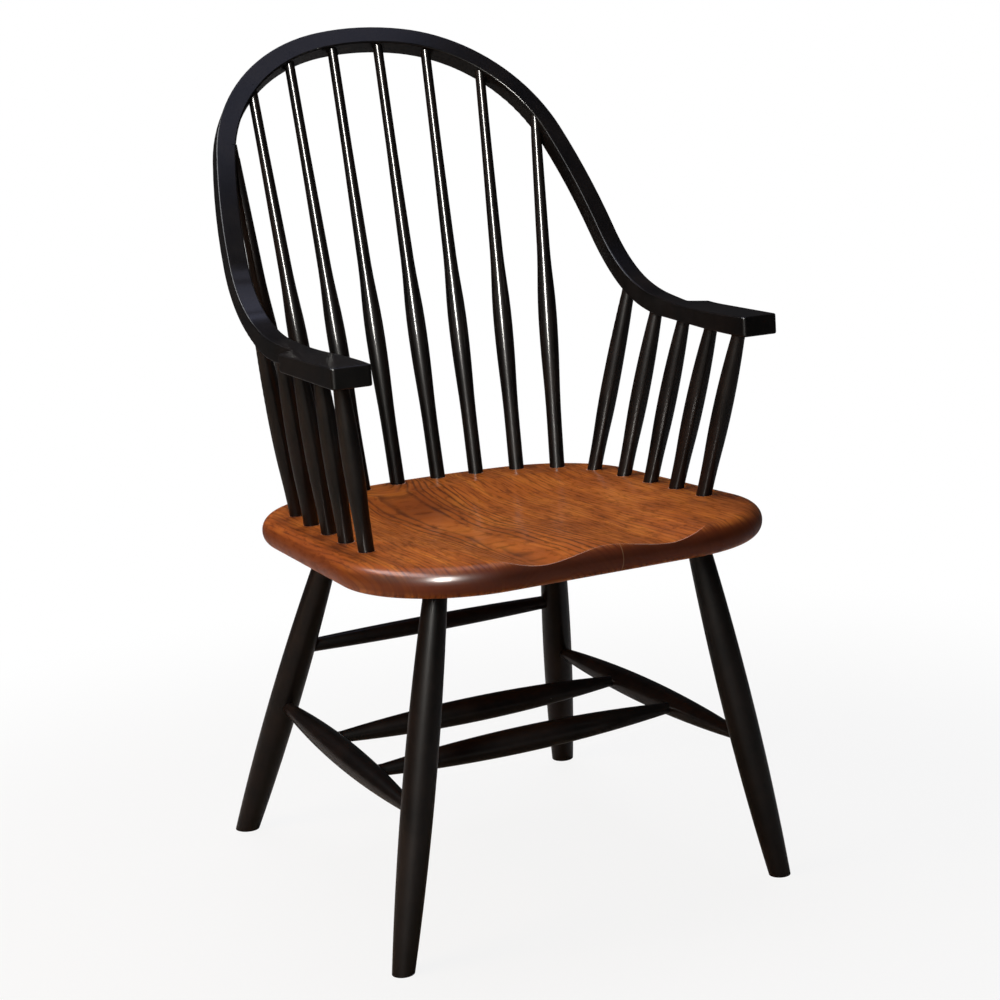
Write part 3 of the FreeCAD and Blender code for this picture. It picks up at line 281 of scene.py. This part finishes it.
# Seat wood: flat-sawn boards glued edge to edge, wiped with an orange brown stain that the pores
# and the end grain drink, under a satin lacquer. The rings are cut at a low angle, so they draw
# long lines front to back, and arches at the back where the trunk's heart comes up.
seatWood = {
    # the trunk's slow waver: waves in a metre, how much slower they are along the trunk, and how
    # far they move the rings, in metres
    "waver": {"Scale": 12, "Detail": 2, "Roughness": 0.4},
    "waverAlong": 0.3,
    "waverReach": 0.030,
    # rings: how dark the wood is from one winter to the next, then how thick they are and where
    # their lines are broken, both with their waves in a metre, across the rings and along the trunk
    "ringMm": 5.6,
    "ringDark": [(0.0, 0.15), (1.0, 0.15), (0.12, 0.0), (0.55, 0.10), (0.80, 1.0), (0.92, 0.75)],
    "thickness": {"Scale": 1, "Detail": 1},
    "thicknessWaves": (90, 3, 1),
    "breaks": {"Scale": 1, "Detail": 2, "Roughness": 0.6},
    "breakWaves": (160, 22, 1),
    "breakFrom": 0.32,
    "breakTo": 0.62,
    "flatSlant": 0.10,     # up to this slant to the surface a ring draws no line,
    "fullSlant": 0.40,     # and from this one on a full one
    "line": "#381406",
    # pores and streaks, which share one noise
    "fibre": {"Scale": 1, "Detail": 3, "Roughness": 0.6},
    "poreWidthMm": 2.2,    # drawn wider than the real 0.3 mm, to show at this size
    "poreLengthMm": 11,
    "poreFrom": 0.53,      # how strong the noise is where a pore starts, and where it is full
    "poreTo": 0.62,
    "poreDark": 0.42,      # how dark a pore turns
    "poreDepthMm": 0.1,
    "poreBump": 0.3,
    "streakWidthMm": 9,
    "streakLengthMm": 120,
    "streakShare": 0.60,
    # clouds in the stain, a bit longer along the board
    "blotch": {"Detail": 3, "Roughness": 0.5},
    "blotchMm": 55,
    "blotchAlong": 0.6,
    "blotchShare": 0.40,
    # stain, and how strong streaks and clouds together are where it has each colour
    "brown": "#803E13",
    "warm": "#B46022",
    "bright": "#DE8834",
    "brownAt": 0.28,
    "warmAt": 0.50,
    "brightAt": 0.72,
    "darkPatchAt": (-0.055, 0.080, 0),    # metres: where one soft dark patch on the seat's top lies, and how far round
    "darkPatchReach": (0.085, 0.105, 1),
    "darkPatchHeart": 0.1,                # up to this share of its reach that cloud is at its darkest
    "darkPatchStrength": 0.9,
    # front and back edge: how far an edge faces there where it starts to drink more stain, and
    # where it drinks most
    "endGrain": "#6C2E0F",
    "endFrom": 0.45,
    "endTo": 0.85,
    "endShare": 0.85,
    # round edge, painted darker brown as painted shade where it turns from the top: how far it
    # still faces up where that starts, and where it is full
    "paintedRimShade": "#5C2C10",
    "paintedRimShadeFrom": 0.95,
    "paintedRimShadeTo": 0.35,
    "paintedRimShadeShare": 0.8,
    # glue lines, in metres: where one runs in x, how wide the boards are, and how far from its
    # middle the pale glue ends and is full
    "glue": "#B98A5C",
    "glueShare": 0.6,
    "firstJoint": 0.016,
    "boardWidth": 0.128,
    "glueEdge": 0.0008,
    "glueFull": 0.0002,
    # arris: the sharp edge round the dish is softened by sanding and lacquer, and a pale line is
    # painted along it as a painted highlight, for the light it catches
    "arrisMm": 1.6,
    "arrisSamples": 8,
    "plainReach": 0.002,   # metres from a glue line up to which nothing is softened,
    "softReach": 0.006,    # and from which all is
    "paintedHighlight": "#F6C9BA",
    "paintedHighlightShare": 0.95,
    "paintedHighlightFrom": 0.985,   # cosine of how far the softening turns the surface
    "paintedHighlightTo": 0.93,
    "roughness": 0.42,     # under the clear coat, with how much less plain wood has, how much more
    "smoother": 0.04,      # a pore has, and how strong the pores' noise is at these two
    "rougher": 0.10,
    "smoothAt": 0.3,
    "roughAt": 0.75,
    "specular": 0.05,
    "coat": 0.26,
    "coatRoughness": 0.25,
}
# one entry a board, from -X to +X, in metres: where the trunk's heart runs in x, how deep it lies
# under the seat's top, how fast it rises towards the back, how strongly its rings show, and how
# little a ring's line is broken
boards = {
    "seat_board_1": {"heart": -0.330, "depth": 0.060, "rise": 0.2,
                     "lines": 0.60, "whole": 0.1, "seed": 1.3},
    "seat_board_2": {"heart": -0.062, "depth": 0.068, "rise": 0.907,
                     "lines": 0.95, "whole": 0.6, "seed": 4.1},
    "seat_board_3": {"heart": -0.075, "depth": 0.085, "rise": 0.6,
                     "lines": 0.60, "whole": 0.1, "seed": 7.7},
    "seat_board_4": {"heart": -0.040, "depth": 0.120, "rise": 0.3,
                     "lines": 0.50, "whole": 0.1, "seed": 9.2},
}
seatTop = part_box("seat_board_2")[1][2]


def findRings(tree, wood, board, where, y):
    # a slow waver of the whole trunk
    along = addNode(tree, "Mapping", {"Vector": where, "Location": (board["seed"], 0, 0),
                                      "Scale": (1, wood["waverAlong"], 1)})
    waver = addNode(tree, "TexNoise", dict(wood["waver"], Vector=along), output=1)
    offset = addNode(tree, "VectorMath", {0: waver, 1: (0.5, 0.5, 0.5)}, {"operation": "SUBTRACT"})
    offset = addNode(tree, "VectorMath", {0: offset, 3: wood["waverReach"]}, {"operation": "SCALE"})
    # distance from the heart, which rises towards the back
    back = addNode(tree, "Math", {0: y, 1: 0.0}, {"operation": "MAXIMUM"})
    climb = addNode(tree, "Math", {0: back, 1: back}, {"operation": "MULTIPLY"})
    heartZ = addNode(tree, "Math", {0: climb, 1: board["rise"], 2: seatTop - board["depth"]},
                     {"operation": "MULTIPLY_ADD"})
    heart = addNode(tree, "CombineXYZ", {0: board["heart"], 1: y, 2: heartZ})
    radial = addNode(tree, "VectorMath", {0: where, 1: heart}, {"operation": "SUBTRACT"})
    radial = addNode(tree, "VectorMath", {0: radial, 1: offset}, {"operation": "ADD"})
    radial = addNode(tree, "VectorMath", {0: radial, 1: (1, 0, 1)}, {"operation": "MULTIPLY"})
    distance = addNode(tree, "VectorMath", {0: radial}, {"operation": "LENGTH"}, output=1)
    return radial, distance


def drawRingLines(tree, wood, board, grain, radial, distance):
    swell = addNode(tree, "Mapping", {"Vector": grain, "Scale": wood["thicknessWaves"]})
    thickness = addNode(tree, "TexNoise", dict(wood["thickness"], Vector=swell))
    count = addNode(tree, "Math", {0: distance, 1: perMetre / wood["ringMm"], 2: thickness},
                    {"operation": "MULTIPLY_ADD"})
    phase = addNode(tree, "Math", {0: count}, {"operation": "FRACT"})
    ring = addNode(tree, "ValToRGB", {0: phase}, stops=wood["ringDark"])
    gaps = addNode(tree, "Mapping", {"Vector": grain, "Scale": wood["breakWaves"]})
    broken = addNode(tree, "TexNoise", dict(wood["breaks"], Vector=gaps))
    shown = addNode(tree, "MapRange", {
        "Value": broken, "From Min": wood["breakFrom"], "From Max": wood["breakTo"],
        "To Min": board["whole"], "To Max": 1.0})
    # right over the heart the rings lie flat in the surface and draw no line
    sideways = addNode(tree, "Math", {0: addNode(tree, "SeparateXYZ", {0: radial})},
                       {"operation": "ABSOLUTE"})
    slant = addNode(tree, "Math", {0: sideways, 1: distance}, {"operation": "DIVIDE"})
    crisp = addNode(tree, "MapRange", {"Value": slant, "From Min": wood["flatSlant"],
                                       "From Max": wood["fullSlant"]})
    shown = addNode(tree, "Math", {0: shown, 1: crisp}, {"operation": "MULTIPLY"})
    lines = addNode(tree, "Math", {0: ring, 1: shown}, {"operation": "MULTIPLY"})
    return addNode(tree, "Math", {0: lines, 1: board["lines"]}, {"operation": "MULTIPLY"})


def stainBoard(tree, wood, board, where, grain):
    # the stain takes unevenly, in streaks and in clouds
    long = addNode(tree, "Mapping", {"Vector": grain, "Scale": (
        perMetre / wood["streakWidthMm"], perMetre / wood["streakLengthMm"], 1)})
    streaks = addNode(tree, "TexNoise", dict(wood["fibre"], Vector=long))
    wide = addNode(tree, "Mapping", {"Vector": where, "Location": (0, 0, board["seed"]),
                                     "Scale": (1, wood["blotchAlong"], 1)})
    clouds = addNode(tree, "TexNoise", dict(wood["blotch"], Vector=wide, Scale=perMetre / wood["blotchMm"]))
    clouds = addNode(tree, "Math", {0: clouds, 1: wood["blotchShare"]}, {"operation": "MULTIPLY"})
    stain = addNode(tree, "Math", {0: streaks, 1: wood["streakShare"], 2: clouds},
                    {"operation": "MULTIPLY_ADD"})
    base = addNode(tree, "ValToRGB", {0: stain}, stops=[
        (wood["brownAt"], wood["brown"]),
        (wood["brightAt"], wood["bright"]),
        (wood["warmAt"], wood["warm"])])
    # one soft dark patch on the seat's top, left of the middle
    apart = addNode(tree, "VectorMath", {0: where, 1: wood["darkPatchAt"]}, {"operation": "SUBTRACT"})
    apart = addNode(tree, "VectorMath", {0: apart, 1: wood["darkPatchReach"]}, {"operation": "DIVIDE"})
    apart = addNode(tree, "VectorMath", {0: apart, 1: (1, 1, 0)}, {"operation": "MULTIPLY"})
    apart = addNode(tree, "VectorMath", {0: apart}, {"operation": "LENGTH"}, output=1)
    darkPatch = addNode(tree, "MapRange", {
        "Value": apart, "From Min": 1.0, "From Max": wood["darkPatchHeart"], "To Max": wood["darkPatchStrength"]},
        {"interpolation_type": "SMOOTHSTEP"})
    return addNode(tree, "Mix", {0: darkPatch, 6: base, 7: toLinear(wood["brown"])},
                   {"data_type": "RGBA"}, output=2)


def softenArris(tree, wood, fromJoint):
    # the arris round the dish is softened, but not where two boards only meet in a glue line
    away = addNode(tree, "MapRange", {"Value": fromJoint, "From Min": wood["plainReach"],
                                      "From Max": wood["softReach"]})
    bevel = addNode(tree, "Bevel", {"Radius": wood["arrisMm"] / perMetre},
                    {"samples": wood["arrisSamples"]})
    bent = addNode(tree, "SeparateXYZ", {0: bevel}).node.outputs
    plain = addNode(tree, "NewGeometry", output=1)
    sideways = addNode(tree, "Mix", {0: away, 2: addNode(tree, "SeparateXYZ", {0: plain}), 3: bent["X"]},
                       {"data_type": "FLOAT"})
    softened = addNode(tree, "CombineXYZ", {0: sideways, 1: bent["Y"], 2: bent["Z"]})
    softened = addNode(tree, "VectorMath", {0: softened}, {"operation": "NORMALIZE"})
    same = addNode(tree, "VectorMath", {0: softened, 1: plain}, {"operation": "DOT_PRODUCT"}, output=1)
    return softened, same


def makeSeatWood(name, wood, board):
    material, tree, shader = newMaterial(name, {
        "Roughness": wood["roughness"], "Specular IOR Level": wood["specular"],
        "Coat Weight": wood["coat"], "Coat Roughness": wood["coatRoughness"]})
    where = addNode(tree, "TexCoord", output=3)
    place = addNode(tree, "SeparateXYZ", {0: where}).node.outputs
    facing = addNode(tree, "SeparateXYZ", {0: where.node.outputs["Normal"]}).node.outputs
    radial, distance = findRings(tree, wood, board, where, place["Y"])
    # everything in the wood follows the rings: across them, and along the trunk
    grain = addNode(tree, "CombineXYZ", {0: distance, 1: place["Y"], 2: board["seed"]})
    lines = drawRingLines(tree, wood, board, grain, radial, distance)
    base = stainBoard(tree, wood, board, where, grain)
    # pores: short dashes along the rings, each half a wave of the noise
    short = addNode(tree, "Mapping", {"Vector": grain, "Scale": (
        perMetre / 2 / wood["poreWidthMm"], perMetre / 2 / wood["poreLengthMm"], 1)})
    pores = addNode(tree, "TexNoise", dict(wood["fibre"], Vector=short))
    dashes = addNode(tree, "MapRange", {"Value": pores, "From Min": wood["poreFrom"],
                                        "From Max": wood["poreTo"]})
    dark = addNode(tree, "Math", {0: dashes, 1: wood["poreDark"]}, {"operation": "MULTIPLY"})
    # end grain drinks more stain, at the front and the back edge
    endwise = addNode(tree, "Math", {0: facing["Y"]}, {"operation": "ABSOLUTE"})
    ends = addNode(tree, "MapRange", {
        "Value": endwise, "From Min": wood["endFrom"], "From Max": wood["endTo"],
        "To Max": wood["endShare"]}, {"interpolation_type": "SMOOTHSTEP"})
    # painted shade: the round edge is painted darker brown the more it turns from facing up
    upwards = addNode(tree, "Math", {0: facing["Z"]}, {"operation": "ABSOLUTE"})
    paintedRimShade = addNode(tree, "MapRange", {"Value": upwards, "From Min": wood["paintedRimShadeFrom"],
                                     "From Max": wood["paintedRimShadeTo"], "To Max": wood["paintedRimShadeShare"]})
    # in the end grain the glue line near the pommel opened enough to show as a hair of pale glue
    across = addNode(tree, "Math", {0: place["X"], 1: wood["firstJoint"]}, {"operation": "SUBTRACT"})
    fromSeam = addNode(tree, "Math", {0: across}, {"operation": "ABSOLUTE"})
    seam = addNode(tree, "MapRange", {"Value": fromSeam, "From Min": wood["glueEdge"],
                                      "From Max": wood["glueFull"], "To Max": wood["glueShare"]})
    seam = addNode(tree, "Math", {0: seam, 1: ends}, {"operation": "MULTIPLY"})
    fromJoint = addNode(tree, "Math", {0: across, 1: wood["boardWidth"] / 2}, {"operation": "PINGPONG"})
    softened, same = softenArris(tree, wood, fromJoint)
    # painted highlight: a pale line along the arris, where the softened surface turns most from the plain
    # one
    paintedHighlight = addNode(tree, "MapRange", {"Value": same, "From Min": wood["paintedHighlightFrom"],
                                        "From Max": wood["paintedHighlightTo"], "To Max": wood["paintedHighlightShare"]})
    # each colour lies over the ones before it
    colour = base
    for share, shade in ((dark, "line"), (lines, "line"), (paintedRimShade, "paintedRimShade"), (ends, "endGrain"),
                         (seam, "glue"), (paintedHighlight, "paintedHighlight")):
        colour = addNode(tree, "Mix", {0: share, 6: colour, 7: toLinear(wood[shade])},
                         {"data_type": "RGBA"}, output=2)
    tree.links.new(colour, shader.inputs["Base Color"])
    rough = addNode(tree, "MapRange", {
        "Value": pores, "From Min": wood["smoothAt"], "From Max": wood["roughAt"],
        "To Min": wood["roughness"] - wood["smoother"],
        "To Max": wood["roughness"] + wood["rougher"]})
    tree.links.new(rough, shader.inputs["Roughness"])
    height = addNode(tree, "Math", {0: 1.0, 1: dashes}, {"operation": "SUBTRACT"})
    bump = addNode(tree, "Bump", {"Height": height, "Strength": wood["poreBump"],
                                  "Distance": wood["poreDepthMm"] / perMetre, "Normal": softened})
    tree.links.new(bump, shader.inputs["Normal"])
    tree.links.new(softened, shader.inputs["Coat Normal"])
    return material


def dress(node, material):
    # every slot of the carried-over piece takes the one finish
    slots = node.data.materials
    if not slots:
        slots.append(material)
    for index in range(len(slots)):
        slots[index] = material


# which pieces are sprayed together, so that neighbours don't show the same clouds: how many
# batches there are, and how far apart they lie in the pattern
batches = {"count": 3, "apart": 1.7, "bowSeed": 0.9}
lacquers = [makeBlackLacquer(f"satinBlackLacquer{index}", blackLacquer, batches["apart"] * index)
            for index in range(batches["count"])]
coolLacquer = makeBlackLacquer("bowBlackLacquer", bowLacquer, batches["bowSeed"])
for index, (nodeName, node) in enumerate(sorted(nodes.items())):
    if nodeName in boards:
        dress(node, makeSeatWood("stainedSeat" + nodeName[-1], seatWood, boards[nodeName]))
    elif nodeName in ("bow", "left_hand_block", "right_hand_block"):
        dress(node, coolLacquer)
    else:
        dress(node, lacquers[index % batches["count"]])
print("finishes on")
